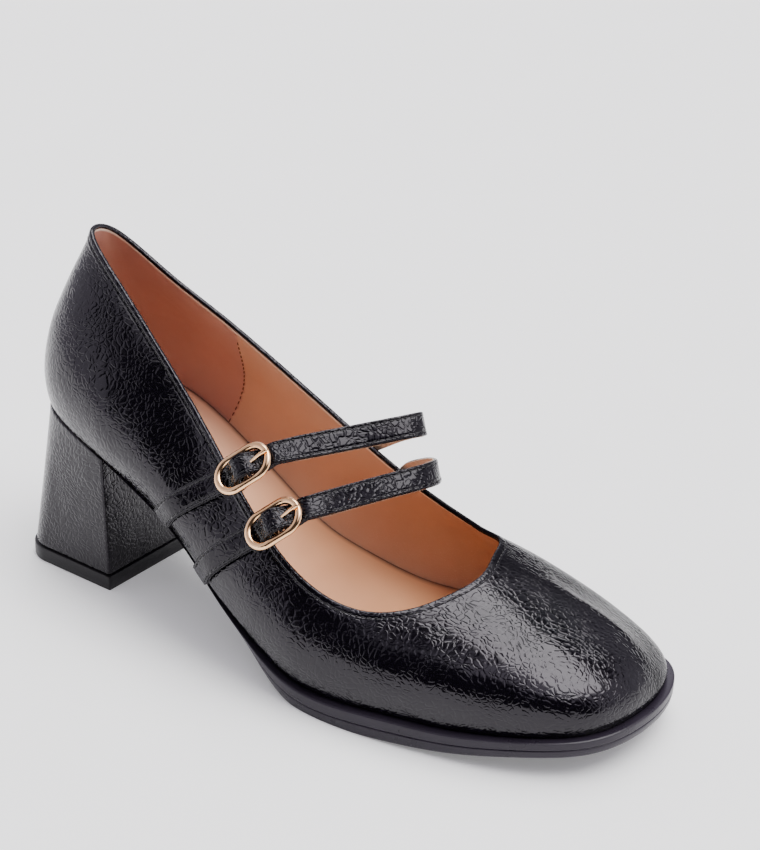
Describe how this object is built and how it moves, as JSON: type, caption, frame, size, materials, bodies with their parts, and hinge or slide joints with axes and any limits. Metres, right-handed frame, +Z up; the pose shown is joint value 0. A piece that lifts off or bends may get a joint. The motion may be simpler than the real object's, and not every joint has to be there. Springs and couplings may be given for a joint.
{
  "type": "mary jane pump",
  "caption": "Right women's pump with a square toe, low-cut throat, narrow buckled straps and a flared block heel.",
  "frame": {"origin": "centre of the bounding box, on the ground under the shoe", "axes": "+X from the heel to the toe, +Y to the medial (inner) side, +Z up"},
  "size_m": [0.2308, 0.0866, 0.1179],
  "materials": {
    "patent": "crinkled patent, high gloss",
    "sock": "smooth nude",
    "sole": "satin black",
    "covered_heel": "patent covered",
    "metal": "polished pale rose gold"
  },
  "bodies": {
    "root": {"outsole": "sole", "insole": "sock", "upper": "patent", "heel_block": "covered_heel", "heel_lift": "sole", "strap_rear": "patent", "tab_rear": "patent", "buckle_rear": "metal", "prong_rear": "metal", "strap_front": "patent", "tab_front": "patent", "buckle_front": "metal", "prong_front": "metal"}
  },
  "joints": []
}
